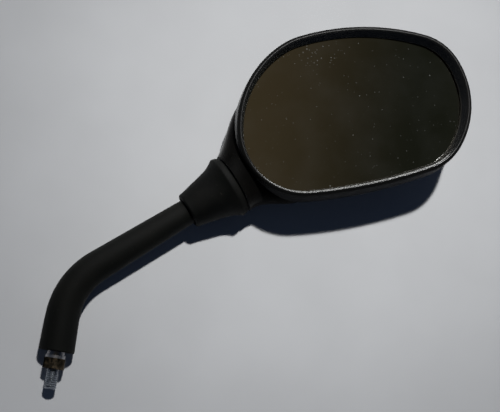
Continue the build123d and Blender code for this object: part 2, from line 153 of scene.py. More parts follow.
class MirrorSizes(PropertyGroup):
    """Sizes of the arm, its thread, the boot and the bezel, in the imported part's frame."""

    bend_corner: size("Bend corner", "Height where the arm's two straight runs meet", 54.2)
    bend_radius: size("Bend radius", "Radius of the arm's bend", 47.0)
    arm_rise: FloatProperty(
        name="Arm rise",
        description="Slope of the arm's upper run above level",
        default=radians(40.8),
        unit="ROTATION",
    )
    thread_radius: size("Thread radius", "Radius over the thread's crests", 3.98)
    thread_depth: size("Thread depth", "Height of the thread's crests over its roots", 0.6)
    thread_pitch: size("Thread pitch", "Distance between two turns of the thread", 1.25)
    stud_length: size("Stud length", "Length of stud below the nut", 12.5)
    stud_chamfer: size("Stud chamfer", "Chamfer at the stud's tip", 1.0)
    shoulder: size("Shoulder", "Height of the rod's shoulder above the nut's lower face", 8.9)
    rod_radius: size("Rod radius", "Radius of the rod inside the sleeve", 5.4)
    rod_neck: size("Rod neck", "Radius of the rod's neck behind the ball", 3.5)
    rod_taper_start: size("Taper start", "Distance from the corner to the rod's taper", 125.6)
    rod_taper_end: size("Taper end", "Distance from the corner to the rod's neck", 133.6)
    rod_end: size("Rod end", "Distance from the corner to the rod's end in the ball", 151.1)
    boot_start: size("Boot start", "Distance from the corner to the boot's lip", 88.6)
    boot_length: size("Boot length", "Length of the boot that shows", 34.3)
    boot_lip: size("Boot lip", "Outer radius of the boot's lip", 11.9)
    boot_bore: size("Boot bore", "Inner radius of the boot's lip", 8.8)
    boot_bead: size("Boot bead", "Radius over the boot's bead", 20.7)
    bead_length: size("Bead length", "Length of the bead's rounded end", 4.6)
    bead_fall: size("Bead fall", "How far the bead's end rounds down", 2.4)
    boot_wall: size("Boot wall", "Thickness of the boot's rubber", 2.2)
    boot_plug: size("Boot plug", "Radius of the plug inside the housing's neck", 16.8)
    plug_depth: size("Plug depth", "How far the plug goes past the boot's face", 3.2)
    head_x: size("Head place, x", "Middle of the head across", 162.0)
    head_z: size("Head place, z", "Middle of the head up", 191.0)
    head_turn: FloatProperty(
        name="Head turn",
        description="Slope of the head's long side",
        default=radians(17.0),
        unit="ROTATION",
    )
    low_near: arc("Low near corner", "The rim's corner by the boot, below", -35.2, -8.9, 42.3)
    low_far: arc("Low far corner", "The rim's far corner, below", 37.0, -9.3, 36.1)
    high_far: arc("High far corner", "The rim's far corner, above", 40.5, 12.1, 35.5)
    high_near: arc("High near corner", "The rim's corner by the boot, above", -21.7, 13.3, 40.6)
    low_side: size("Low side", "Radius of the rim's long lower arc", 335.7)
    far_side: size("Far side", "Radius of the rim's far arc", 55.9)
    high_side: size("High side", "Radius of the rim's long upper arc", 149.4)
    near_side: size("Near side", "Radius of the rim's arc by the boot", 66.5)
    bezel_front: size("Bezel front", "Depth of the bezel's crest", -24.0)
    bezel_back: size("Bezel back", "Depth where the bezel meets the housing", -18.5)
    bezel_wall: size("Bezel wall", "Depth where the outer side starts to round over", -20.8)
    bezel_round: size("Bezel round", "How far in from the rim the outer side rounds over", 2.2)
    bezel_crest: size("Bezel crest", "How far in from the rim the inner slope starts", 3.0)
    bezel_soft: size("Crest edge", "Length of the rounded edge at the crest", 1.6)
    bezel_lip: size("Bezel lip", "How far in from the rim the lip reaches", 5.3)
    lip_shift: size("Lip shift", "How far the opening lies along the head from the rim's middle", -0.8)
    lip_drop: size("Lip drop", "How far the opening lies up the head from the rim's middle", -0.4)
    lip_edge: size("Lip edge", "Thickness of the lip at the glass", 0.6)
    lip_back: size("Lip back", "Depth of the lip's back on the glass", -16.6)
    skirt_end: size("Skirt end", "Depth of the skirt inside the housing", -13.7)
    skirt_outer: size("Skirt outer", "How far in from the rim the skirt's outside is", 2.45)
    skirt_inner: size("Skirt inner", "How far in from the rim the skirt's inside is", 3.95)


class MirrorColours(PropertyGroup):
    """Colours of the finishes and of the table."""

    arm: colour("Arm plastic", "Black moulded arm cover", "#0B0C0A")
    housing: colour("Housing plastic", "Black moulded housing", "#040404")
    bezel: colour("Bezel plastic", "Black satin rim", "#181817")
    rubber: colour("Boot rubber", "Black rubber boot", "#080908")
    # The dust colour also paints the pale line along the bezel's lip, a painted highlight.
    dust: colour("Dust", "Dust on the glass and the plastics", "#A39B8C")
    silver: colour("Silvering", "Silver layer behind the glass", "#E9EAE6")
    zinc: colour("Zinc plating", "Bright plating of the stud", "#9AA1A9")
    browned: colour("Browned steel", "Dull brown nut", "#2E2A21")
    rust: colour("Rust", "Rust in the nut's corners", "#4A3D2B")
    steel: colour("Dulled steel", "Dull bloom on the plating and the washer", "#6A6D72")
    washer: colour("Washer steel", "Tempered steel of the washer and the rod", "#8A8E94")
    acetal: colour("Ball liner", "Pale plastic shells round the ball", "#DAD7CE")
    foam: colour("Foam", "Foam pad behind the glass", "#3A3A3C")
    table: colour("Table", "Pale painted table top", "#BDBEBF")
    room: colour("Room", "Dim room that the glass mirrors", "#3A3224")
    room_far: colour("Room, far side", "Darker side of the room", "#191A14")
    surround: colour("Surround", "Dim bluish light from the rest of the room", "#262E3D")


class MirrorStage(PropertyGroup):
    """Light levels and the camera's lens."""

    key_power: FloatProperty(
        name="Lamp power",
        description="Power of the far lamp above the table",
        default=1880.0,
        unit="POWER",
    )
    pool_power: FloatProperty(
        name="Pool power",
        description="Power of the narrow lamp that brightens the table round the head",
        default=1850.0,
        unit="POWER",
    )
    edge_power: FloatProperty(
        name="Edge light power",
        description="Power of the long light that gleams on the bezel",
        default=7.0,
        unit="POWER",
    )
    back_power: FloatProperty(
        name="Back light power",
        description="Power of the soft light behind the table",
        default=45.0,
        unit="POWER",
    )
    lens: FloatProperty(
        name="Lens",
        description="Focal length of the camera",
        default=88.7467,
        unit="CAMERA",
        subtype="DISTANCE_CAMERA",
    )


def put(tree, kind, inputs=None, **settings):
    """Adds a node. Settings are its own fields; inputs are values or sockets for its inputs."""
    made = tree.nodes.new(kind)
    for name, value in settings.items():
        setattr(made, name, value)
    for name, value in (inputs or {}).items():
        if isinstance(value, bpy.types.NodeSocket):
            tree.links.new(value, made.inputs[name])
        else:
            made.inputs[name].default_value = value
    return made


def finish_of(name):
    """A new material with an empty tree, and its tree."""
    made = bpy.data.materials.new(name)
    made.use_nodes = True
    made.node_tree.nodes.clear()
    return made, made.node_tree


def close(tree, shader):
    """Links a shader to the material's output."""
    put(tree, "ShaderNodeOutputMaterial", {"Surface": shader.outputs[0]})


def moulded(name, base, dust, roughness, grain, relief, specular, sheen=0.0, marked=False):
    """Moulded plastic, rubber or foam: a fine matt grain from the mould, patches that are a
    little more polished by handling, and a thin film of pale dust in places. sheen is the pale
    bloom seen along the surface. A marked piece has two point attributes: one that is 0 where
    it is left matt and painted darker as shade, and one that gives its share of a pale line in
    the dust's colour, a painted highlight."""
    patch_size = 22 * MM
    lint_size = 1.6 * MM
    wear = 0.06
    # Matt places on a marked piece are also painted darker, as shade.
    matt_roughness, matt_specular, matt_shade_tone = 0.65, 0.06, 0.6
    made, tree = finish_of(name)
    where = put(tree, "ShaderNodeTexCoord").outputs["Object"]
    patches = put(
        tree, "ShaderNodeTexNoise", {"Vector": where, "Scale": 1 / patch_size, "Detail": 4.0}
    )
    flecks = put(
        tree, "ShaderNodeTexNoise", {"Vector": where, "Scale": 1 / lint_size, "Detail": 3.0}
    )
    pits = put(tree, "ShaderNodeTexNoise", {"Vector": where, "Scale": 1 / grain, "Detail": 2.0})
    film = put(
        tree,
        "ShaderNodeMapRange",
        {
            "Value": patches.outputs["Fac"],
            "From Min": 0.45,
            "From Max": 0.75,
            "To Min": 0.0,
            "To Max": 0.008,
        },
    )
    lint = put(
        tree,
        "ShaderNodeMapRange",
        {
            "Value": flecks.outputs["Fac"],
            "From Min": 0.66,
            "From Max": 0.78,
            "To Min": 0.0,
            "To Max": 0.03,
        },
    )
    dust_and_painted_line = put(tree, "ShaderNodeMath", {0: film.outputs[0], 1: lint.outputs[0]}, operation="ADD")
    if marked:
        # The lip's pale line, a painted highlight, is added to the dust.
        lip_highlight = put(tree, "ShaderNodeAttribute", attribute_name="lip_highlight").outputs["Fac"]
        dust_and_painted_line = put(tree, "ShaderNodeMath", {0: dust_and_painted_line.outputs[0], 1: lip_highlight}, operation="ADD")
    skin = put(
        tree,
        "ShaderNodeMix",
        {"Factor": dust_and_painted_line.outputs[0], "A": base, "B": dust},
        data_type="RGBA",
    )
    worn = put(
        tree,
        "ShaderNodeMapRange",
        {
            "Value": patches.outputs["Fac"],
            "From Min": 0.3,
            "From Max": 0.7,
            "To Min": roughness - wear,
            "To Max": roughness + wear,
        },
    )
    dull = worn.outputs[0]
    shine = specular
    if marked:
        share = put(tree, "ShaderNodeAttribute", attribute_name="polish_and_shade").outputs["Fac"]
        levels = {"Value": share, "To Min": matt_roughness, "To Max": dull}
        dull = put(tree, "ShaderNodeMapRange", levels).outputs[0]
        levels = {"Value": share, "To Min": matt_specular, "To Max": specular}
        shine = put(tree, "ShaderNodeMapRange", levels).outputs[0]
        # Painted shade: the matt places are darkened.
        levels = {"Value": share, "To Min": matt_shade_tone, "To Max": 1.0}
        tone = put(tree, "ShaderNodeMapRange", levels)
        inputs = {"Factor": 1.0, "A": skin.outputs["Result"], "B": tone.outputs[0]}
        skin = put(tree, "ShaderNodeMix", inputs, data_type="RGBA", blend_type="MULTIPLY")
    grained = put(
        tree,
        "ShaderNodeBump",
        {"Height": pits.outputs["Fac"], "Strength": 0.5, "Distance": relief},
    )
    shader = put(
        tree,
        "ShaderNodeBsdfPrincipled",
        {
            "Base Color": skin.outputs["Result"],
            "Roughness": dull,
            "Normal": grained.outputs[0],
            "IOR": 1.5,
            "Specular IOR Level": shine,
            "Sheen Weight": sheen,
            "Sheen Roughness": 0.35,
        },
    )
    close(tree, shader)
    return made


def worn_metal(name, base, stain, roughness, spread, patch, amount):
    """Metal with a dull bloom: the base colour turns to the stain in patches of the given size,
    and the stained places are rougher and less metallic."""
    pit_depth = 0.04 * MM
    made, tree = finish_of(name)
    where = put(tree, "ShaderNodeTexCoord").outputs["Object"]
    bloom = put(
        tree,
        "ShaderNodeTexNoise",
        {"Vector": where, "Scale": 1 / patch, "Detail": 5.0, "Roughness": 0.65},
    )
    share = put(
        tree,
        "ShaderNodeMapRange",
        {
            "Value": bloom.outputs["Fac"],
            "From Min": 0.42,
            "From Max": 0.66,
            "To Min": 0.0,
            "To Max": amount,
        },
    )
    skin = put(
        tree,
        "ShaderNodeMix",
        {"Factor": share.outputs[0], "A": base, "B": stain},
        data_type="RGBA",
    )
    bare = put(tree, "ShaderNodeMath", {0: 1.0, 1: share.outputs[0]}, operation="SUBTRACT")
    dull = put(
        tree,
        "ShaderNodeMapRange",
        {
            "Value": bloom.outputs["Fac"],
            "From Min": 0.3,
            "From Max": 0.7,
            "To Min": roughness,
            "To Max": roughness + spread,
        },
    )
    pitted = put(
        tree,
        "ShaderNodeBump",
        {"Height": bloom.outputs["Fac"], "Strength": 0.4, "Distance": pit_depth},
    )
    shader = put(
        tree,
        "ShaderNodeBsdfPrincipled",
        {
            "Base Color": skin.outputs["Result"],
            "Metallic": bare.outputs[0],
            "Roughness": dull.outputs[0],
            "Normal": pitted.outputs[0],
        },
    )
    close(tree, shader)
    return made


def specks(tree, where, cell, share, reach, strength):
    """Round specks: one may lie in each cell of this size, in this share of the cells. reach is
    the largest radius in cells. Returns how much of the surface they cover, which is strength at
    their middle and falls to nothing at their edge."""
    cells = put(tree, "ShaderNodeTexVoronoi", {"Vector": where, "Scale": 1 / cell})
    chance = put(tree, "ShaderNodeSeparateColor", {"Color": cells.outputs["Color"]})
    radius = put(
        tree,
        "ShaderNodeMapRange",
        {
            "Value": chance.outputs[0],
            "From Min": 1.0 - share,
            "From Max": 1.0,
            "To Min": 0.0,
            "To Max": reach,
        },
    )
    cover = put(
        tree,
        "ShaderNodeMapRange",
        {
            "Value": cells.outputs["Distance"],
            "From Min": radius.outputs[0],
            "From Max": 0.0,
            "To Min": 0.0,
            "To Max": strength,
        },
    )
    return cover.outputs[0]


def silvered_glass(name, silver, dust, cluster):
    """Glass silvered on its back: a sharp dark reflection, broken by dust specks of two sizes, a
    cluster of dried drops that thins out from the given place, and a faint wiped film."""
    film_size = 24 * MM
    cluster_full, cluster_end = 4 * MM, 17 * MM
    made, tree = finish_of(name)
    where = put(tree, "ShaderNodeTexCoord").outputs["Object"]
    # Specks are 0.1 to 0.4 mm wide on the real glass; the finest are drawn wider so that they show.
    large = specks(tree, where, cell=5.5 * MM, share=0.6, reach=0.085, strength=0.42)
    small = specks(tree, where, cell=2.6 * MM, share=0.6, reach=0.18, strength=0.13)
    drops = specks(tree, where, cell=2.1 * MM, share=0.9, reach=0.33, strength=0.3)
    away = put(tree, "ShaderNodeVectorMath", {0: where, 1: cluster}, operation="DISTANCE")
    near = put(
        tree,
        "ShaderNodeMapRange",
        {
            "Value": away.outputs["Value"],
            "From Min": cluster_full,
            "From Max": cluster_end,
            "To Min": 1.0,
            "To Max": 0.0,
        },
    )
    dried = put(tree, "ShaderNodeMath", {0: drops, 1: near.outputs[0]}, operation="MULTIPLY")
    broad = put(
        tree, "ShaderNodeTexNoise", {"Vector": where, "Scale": 1 / film_size, "Detail": 3.0}
    )
    film = put(
        tree,
        "ShaderNodeMapRange",
        {
            "Value": broad.outputs["Fac"],
            "From Min": 0.4,
            "From Max": 0.75,
            "To Min": 0.0,
            "To Max": 0.006,
        },
    )
    dust_and_line_share = film.outputs[0]
    for part in (large, small, dried.outputs[0]):
        dust_and_line_share = put(tree, "ShaderNodeMath", {0: dust_and_line_share, 1: part}, operation="ADD").outputs[0]
    clean = put(tree, "ShaderNodeMath", {0: 1.0, 1: dust_and_line_share}, operation="SUBTRACT")
    skin = put(
        tree,
        "ShaderNodeMix",
        {"Factor": dust_and_line_share, "A": silver, "B": dust},
        data_type="RGBA",
    )
    shader = put(
        tree,
        "ShaderNodeBsdfPrincipled",
        {"Base Color": skin.outputs["Result"], "Metallic": clean.outputs[0], "Roughness": 0.0},
    )
    close(tree, shader)
    return made


def painted_table(name, base):
    """Pale painted board: almost even, with a faint soft mottle and a weak sheen. It can't be seen
    from under it and casts no shadow, so that the mirror's back can be seen and lit."""
    mottle_size = 60 * MM
    made, tree = finish_of(name)
    where = put(tree, "ShaderNodeTexCoord").outputs["Object"]
    mottle = put(
        tree, "ShaderNodeTexNoise", {"Vector": where, "Scale": 1 / mottle_size, "Detail": 3.0}
    )
    tone = put(
        tree,
        "ShaderNodeMapRange",
        {
            "Value": mottle.outputs["Fac"],
            "From Min": 0.3,
            "From Max": 0.7,
            "To Min": 0.97,
            "To Max": 1.03,
        },
    )
    skin = put(
        tree,
        "ShaderNodeMix",
        {"Factor": 1.0, "A": base, "B": tone.outputs[0]},
        data_type="RGBA",
        blend_type="MULTIPLY",
    )
    board = put(
        tree,
        "ShaderNodeBsdfPrincipled",
        {"Base Color": skin.outputs["Result"], "Roughness": 0.6, "Specular IOR Level": 0.1},
    )
    through = put(tree, "ShaderNodeBsdfTransparent")
    under = put(tree, "ShaderNodeNewGeometry").outputs["Backfacing"]
    shade = put(tree, "ShaderNodeLightPath").outputs["Is Shadow Ray"]
    passing = put(tree, "ShaderNodeMath", {0: under, 1: shade}, operation="MAXIMUM")
    shader = put(
        tree,
        "ShaderNodeMixShader",
        {0: passing.outputs[0], 1: board.outputs[0], 2: through.outputs[0]},
    )
    close(tree, shader)
    return made


def room_glow(name, near, far, width, middle, reach):
    """The dim room as the glass sees it: a warm brown that darkens across the card between the two
    places of width, and fades out between the two distances of reach from its middle."""
    made, tree = finish_of(name)
    where = put(tree, "ShaderNodeTexCoord").outputs["Object"]
    across = put(tree, "ShaderNodeSeparateXYZ", {"Vector": where})
    fall = put(
        tree,
        "ShaderNodeMapRange",
        {
            "Value": across.outputs["X"],
            "From Min": width[0],
            "From Max": width[1],
            "To Min": 0.0,
            "To Max": 1.0,
        },
        interpolation_type="SMOOTHSTEP",
    )
    tone = put(
        tree,
        "ShaderNodeMix",
        {"Factor": fall.outputs[0], "A": near, "B": far},
        data_type="RGBA",
    )
    away = put(tree, "ShaderNodeVectorMath", {0: where, 1: middle}, operation="DISTANCE")
    fade = put(
        tree,
        "ShaderNodeMapRange",
        {"Value": away.outputs["Value"], "From Min": reach[0], "From Max": reach[1]},
        interpolation_type="SMOOTHSTEP",
    )
    glow = put(tree, "ShaderNodeEmission", {"Color": tone.outputs["Result"]})
    clear = put(tree, "ShaderNodeBsdfTransparent")
    shader = put(
        tree,
        "ShaderNodeMixShader",
        {0: fade.outputs[0], 1: glow.outputs[0], 2: clear.outputs[0]},
    )
    close(tree, shader)
    return made


def mesh_of(name, points, faces, sharp):
    """A mesh object of these points and of faces given as arrays of quads and triangles. Its
    faces are turned outwards by the sign of the volume they enclose, and edges that turn by more
    than sharp degrees stay sharp."""
    corners = np.concatenate([part.ravel() for part in faces])
    counts = np.concatenate([np.full(len(part), part.shape[1]) for part in faces])
    fans = [part[:, [0, k, k + 1]] for part in faces for k in range(1, part.shape[1] - 1)]
    a, b, c = points[np.concatenate(fans)].transpose(1, 0, 2)
    if np.einsum("ij,ij->i", a, np.cross(b, c)).sum() < 0:
        corners = np.concatenate([part[:, ::-1].ravel() for part in faces])
    mesh = bpy.data.meshes.new(name)
    mesh.vertices.add(len(points))
    mesh.vertices.foreach_set("co", points.astype(np.float32).ravel())
    mesh.loops.add(len(corners))
    mesh.loops.foreach_set("vertex_index", corners.astype(np.int32))
    mesh.polygons.add(len(counts))
    mesh.polygons.foreach_set("loop_start", (np.cumsum(counts) - counts).astype(np.int32))
    mesh.polygons.foreach_set("use_smooth", np.ones(len(counts), bool))
    mesh.update(calc_edges=True)
    mesh.set_sharp_from_angle(angle=radians(sharp))
    made = bpy.data.objects.new(name, mesh)
    bpy.context.scene.collection.objects.link(made)
    return made


def ring_grid(rows, around, wrap):
    """Quads that join each ring of points to the next, and the last to the first if wrap."""
    row = np.arange(rows if wrap else rows - 1)[:, None]
    step = np.arange(around)[None, :]
    after = (row + 1) % rows
    turn = (step + 1) % around
    quads = [row * around + step, row * around + turn, after * around + turn, after * around + step]
    return np.stack(np.broadcast_arrays(*quads), axis=-1).reshape(-1, 4)


def capped_tube(name, rings, sharp):
    """Rings of points joined in a row, with one centre point closing each end."""
    rows, around = rings.shape[:2]
    points = np.concatenate([rings.reshape(-1, 3), rings[[0, -1]].mean(axis=1)])
    step = np.arange(around)
    turn = (step + 1) % around
    first = np.full(around, rows * around)
    base = (rows - 1) * around
    ends = np.concatenate(
        [
            np.stack([first, turn, step], axis=1),
            np.stack([first + 1, base + step, base + turn], axis=1),
        ]
    )
    return mesh_of(name, points, [ring_grid(rows, around, False), ends], sharp)


def arm_line(sizes, run):
    """Points, directions and side directions of the arm's middle line. run is the distance from
    the stud's foot: straight up to the bend, round an arc of the bend's radius, then straight
    on along the rise. All three lie in the plane where y is 0."""
    turn = pi / 2 - sizes.arm_rise
    trim = sizes.bend_radius * tan(turn / 2)
    start = sizes.bend_corner - trim
    angle = np.clip((run - start) / sizes.bend_radius, 0.0, turn)
    after = np.maximum(run - start - sizes.bend_radius * turn, 0.0)
    x = sizes.bend_radius * (1 - np.cos(angle)) + after * np.sin(angle)
    z = np.minimum(run, start) + sizes.bend_radius * np.sin(angle) + after * np.cos(angle)
    flat = np.zeros_like(run)
    middle = np.stack([x, flat, z], axis=-1)
    ahead = np.stack([np.sin(angle), flat, np.cos(angle)], axis=-1)
    side = np.stack([-np.cos(angle), flat, np.sin(angle)], axis=-1)
    return middle, ahead, side


def run_of(sizes, reach):
    """Distance along the arm's line of a place this far past the bend's corner."""
    turn = pi / 2 - sizes.arm_rise
    trim = sizes.bend_radius * tan(turn / 2)
    return sizes.bend_corner - trim + sizes.bend_radius * turn + reach - trim


def round_tube(sizes, run, radius):
    """Rings round the arm's line: each point is the line's point there plus the radius times the
    side direction turned about the line. radius has one row per run and one column per step."""
    around = radius.shape[1]
    angle = np.linspace(0, 2 * pi, around, endpoint=False)
    middle, _, side = arm_line(sizes, run)
    level = np.array([0.0, 1.0, 0.0])
    out = np.cos(angle)[None, :, None] * side[:, None, :] + np.sin(angle)[None, :, None] * level
    return middle[:, None, :] + radius[:, :, None] * out


def thread_radius(sizes, run, around):
    """Radius of a right-hand screw thread: a wave with flat crests and roots and sloping flanks,
    whose phase is the run over the pitch plus the share of a turn, clockwise from above."""
    angle = np.linspace(0, 2 * pi, around, endpoint=False)
    phase = (run[:, None] / sizes.thread_pitch + angle[None, :] / (2 * pi)) % 1.0
    flank = 0.5 - CREST_HALF - ROOT_HALF
    wave = np.clip((np.abs(phase - 0.5) - CREST_HALF) / flank, 0.0, 1.0)
    return sizes.thread_radius - sizes.thread_depth * wave


def rod_rings(sizes):
    """The rod from the stud's tip to the ball: thread up to the shoulder, cut back to a cone at
    the tip, then a plain rod round the bend, a taper and the neck."""
    around, thread_rows, plain_rows = 72, 290, 60
    tip = -sizes.stud_length
    stud = np.linspace(tip, sizes.shoulder, thread_rows)
    cone = sizes.thread_radius - sizes.stud_chamfer + (stud - tip)
    screw = np.minimum(thread_radius(sizes, stud, around), cone[:, None])
    taper = run_of(sizes, sizes.rod_taper_start)
    neck = run_of(sizes, sizes.rod_taper_end)
    end = run_of(sizes, sizes.rod_end)
    plain = np.concatenate([np.linspace(sizes.shoulder, taper, plain_rows), [neck, end]])
    width = np.interp(plain, [taper, neck], [sizes.rod_radius, sizes.rod_neck])
    rod = np.repeat(width[:, None], around, axis=1)
    run = np.concatenate([stud, plain])
    return round_tube(sizes, run, np.concatenate([screw, rod]))


def boot_profile(sizes):
    """The boot's wall as a closed loop of (distance from its lip, radius): the lip's half round,
    a flare that is the quartic through five places, the bead's quarter ellipse, the face, the
    plug, and a straight taper inside it back to the lip."""
    length = sizes.boot_length
    lip_round = (sizes.boot_lip - sizes.boot_bore) / 2
    half = np.linspace(-pi / 2, pi / 2, 13)
    lip_place = lip_round * (1 - np.cos(half))
    lip_radius = sizes.boot_bore + lip_round * (1 + np.sin(half))
    bead_start = length - sizes.bead_length
    places = np.array([lip_round, *(share * length for share in FLARE_SHARES), bead_start])
    rises = np.array([0.0, *FLARE_RISES, (sizes.boot_bead - sizes.boot_lip) / MM]) * MM
    flare = np.polynomial.Polynomial.fit(places, sizes.boot_lip + rises, len(places) - 1)
    outer = np.linspace(lip_round, bead_start, 42)[1:]
    turn = np.linspace(0, pi / 2, 12)[1:]
    bead_place = bead_start + sizes.bead_length * np.sin(turn)
    bead_radius = sizes.boot_bead - sizes.bead_fall * (1 - np.cos(turn))
    plug_end = length + sizes.plug_depth
    inside = sizes.boot_plug - sizes.boot_wall
    inner = np.linspace(bead_start, lip_round, 30)[2:-1]
    share = (inner - lip_round) / (bead_start - lip_round)
    bore = sizes.boot_bore + (inside - sizes.boot_bore) * share
    place = [lip_place, outer, bead_place, [length, plug_end, plug_end, length], inner]
    plug = [sizes.boot_plug, sizes.boot_plug, inside, inside]
    radius = [lip_radius, flare(outer), bead_radius, plug, bore]
    return np.concatenate(place), np.concatenate(radius)


def boot_rings(sizes):
    """The boot's wall turned about the arm's line."""
    around = 144
    place, radius = boot_profile(sizes)
    run = run_of(sizes, sizes.boot_start) + place
    return round_tube(sizes, run, np.repeat(radius[:, None], around, axis=1))


def rim_arcs(sizes):
    """The rim's outline as eight tangent arcs in the head's plane: four corners, each followed by
    a long side. A side's centre lies where its radius less each corner's radius reaches both
    corners. Returns centres, radii, starts and sweeps."""
    corners = np.array([sizes.low_near, sizes.low_far, sizes.high_far, sizes.high_near])
    sides = np.array([sizes.low_side, sizes.far_side, sizes.high_side, sizes.near_side])
    after = np.roll(corners, -1, axis=0)
    gap = after[:, :2] - corners[:, :2]
    span = np.hypot(gap[:, 0], gap[:, 1])
    first = sides - corners[:, 2]
    second = sides - after[:, 2]
    along = (first**2 - second**2 + span**2) / (2 * span)
    inward = np.sqrt(first**2 - along**2)
    unit = gap / span[:, None]
    across = np.stack([-unit[:, 1], unit[:, 0]], axis=1)
    middle = corners[:, :2] + unit * along[:, None] + across * inward[:, None]
    start = np.arctan2(*(corners[:, :2] - np.roll(middle, 1, axis=0)).T[::-1])
    meet = np.arctan2(*(corners[:, :2] - middle).T[::-1])
    end = np.arctan2(*(after[:, :2] - middle).T[::-1])
    centres = np.stack([corners[:, :2], middle], axis=1).reshape(-1, 2)
    radii = np.stack([corners[:, 2], sides], axis=1).ravel()
    starts = np.stack([start, meet], axis=1).ravel()
    sweeps = np.stack([meet - start, end - meet], axis=1).ravel() % (2 * pi)
    return centres, radii, starts, sweeps


def rim_rings(sizes, grow, depth, share):
    """One ring per row: the rim's arcs with their radii changed by grow, moved by this share of
    the opening's shift, turned by the head's slope and set at that depth. All rings share their
    angles, so that the rings of a wall stand square to it."""
    steps = 28
    centres, radii, starts, sweeps = rim_arcs(sizes)
    step = np.linspace(0, 1, steps, endpoint=False)
    angle = (starts[:, None] + sweeps[:, None] * step).ravel()
    reach = np.repeat(radii, steps)[None, :] + grow[:, None]
    along = np.repeat(centres[:, 0], steps) + reach * np.cos(angle) + share[:, None] * sizes.lip_shift
    up = np.repeat(centres[:, 1], steps) + reach * np.sin(angle) + share[:, None] * sizes.lip_drop
    turn = sizes.head_turn
    x = sizes.head_x + along * cos(turn) - up * sin(turn)
    z = sizes.head_z + along * sin(turn) + up * cos(turn)
    return np.stack([x, np.broadcast_to(depth[:, None], x.shape), z], axis=-1)


def bezel_profile(sizes):
    """The bezel's wall as a closed loop: a straight outer side, a quarter ellipse over to the
    crest, the crest's soft edge as a parabola between its two tangents, the inner slope down to
    the lip, and the skirt behind it. Returns each place's distance out from the rim, its depth,
    its share of the opening's shift, its polish, which is 0 on the side, where the side is also
    painted darker as shade, and 1 inside the crest, and its share of a pale line painted along
    the lip as a highlight, which rises towards the glass."""
    front = sizes.bezel_front
    turn = np.linspace(0, pi / 2, 16)
    over = sizes.bezel_wall + (front - sizes.bezel_wall) * np.sin(turn)
    side = np.stack([-sizes.bezel_round * (1 - np.cos(turn)), over], axis=1)
    back = np.array([(0.0, sizes.bezel_back)])
    crest = np.array([-sizes.bezel_crest, front])
    lip = np.array([-sizes.bezel_lip, sizes.lip_back - sizes.lip_edge])
    slope = (lip - crest) / np.linalg.norm(lip - crest)
    part = np.linspace(0, 1, 12)[1:, None]
    before = side[-1]
    after = crest + slope * sizes.bezel_soft
    soft = (1 - part) ** 2 * before + 2 * part * (1 - part) * crest + part**2 * after
    wall = after + np.linspace(0, 1, 8)[1:, None] * (lip - after)
    edge = np.array([(-sizes.bezel_lip, sizes.lip_back)])
    skirt = np.array(
        [
            (-sizes.skirt_inner, sizes.lip_back),
            (-sizes.skirt_inner, sizes.skirt_end),
            (-sizes.skirt_outer, sizes.skirt_end),
            (-sizes.skirt_outer, sizes.bezel_back),
        ]
    )
    outside = np.concatenate([back, side])
    inside = np.concatenate([soft, wall, edge])
    loop = np.concatenate([outside, inside, skirt])
    sunk = np.clip((inside[:, 1] - front) / (lip[1] - front), 0.0, 1.0)
    share = np.concatenate([np.zeros(len(outside)), sunk, np.zeros(len(skirt))])
    rounded = (turn / (pi / 2) - POLISH_FROM) / POLISH_SPAN
    fade = np.concatenate([[0.0], np.clip(rounded, 0.0, 1.0)])
    polish_and_shade = np.concatenate([fade, np.ones(len(inside)), np.zeros(len(skirt))])
    dust_and_line_share = np.clip((share - LIP_LINE_FROM) / (1 - LIP_LINE_FROM), 0.0, 1.0)
    return loop[:, 0], loop[:, 1], share, polish_and_shade, dust_and_line_share


def bezel_lip_highlight(sizes, rings, dust_and_line_share):
    """The pale line painted as a highlight at each point of the bezel's rings: the ring's share of
    it, times a level that is highest where the point's direction from the head's middle is the
    side that has the most."""
    aside = rings[:, :, [0, 2]] - np.array([sizes.head_x, sizes.head_z])
    aside = aside / np.linalg.norm(aside, axis=2, keepdims=True)
    low = np.clip(LIP_LINE_EVEN + (1 - LIP_LINE_EVEN) * aside @ np.array(LIP_LINE_SIDE), 0.0, 1.0)
    return LIP_LINE_MOST * dust_and_line_share[:, None] * low


def dress(name, finish):
    """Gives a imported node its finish."""
    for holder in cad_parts[name].material_slots:
        holder.material = finish


def tempered_steel(colours):
    """Spring steel: grey, with the even dullness of a tempered surface. Made once and shared."""
    made = bpy.data.materials.get("spring_steel")
    return made or worn_metal(
        "spring_steel",
        colours.washer,
        colours.steel,
        roughness=0.55,
        spread=0.2,
        patch=2.5 * MM,
        amount=0.3,
    )


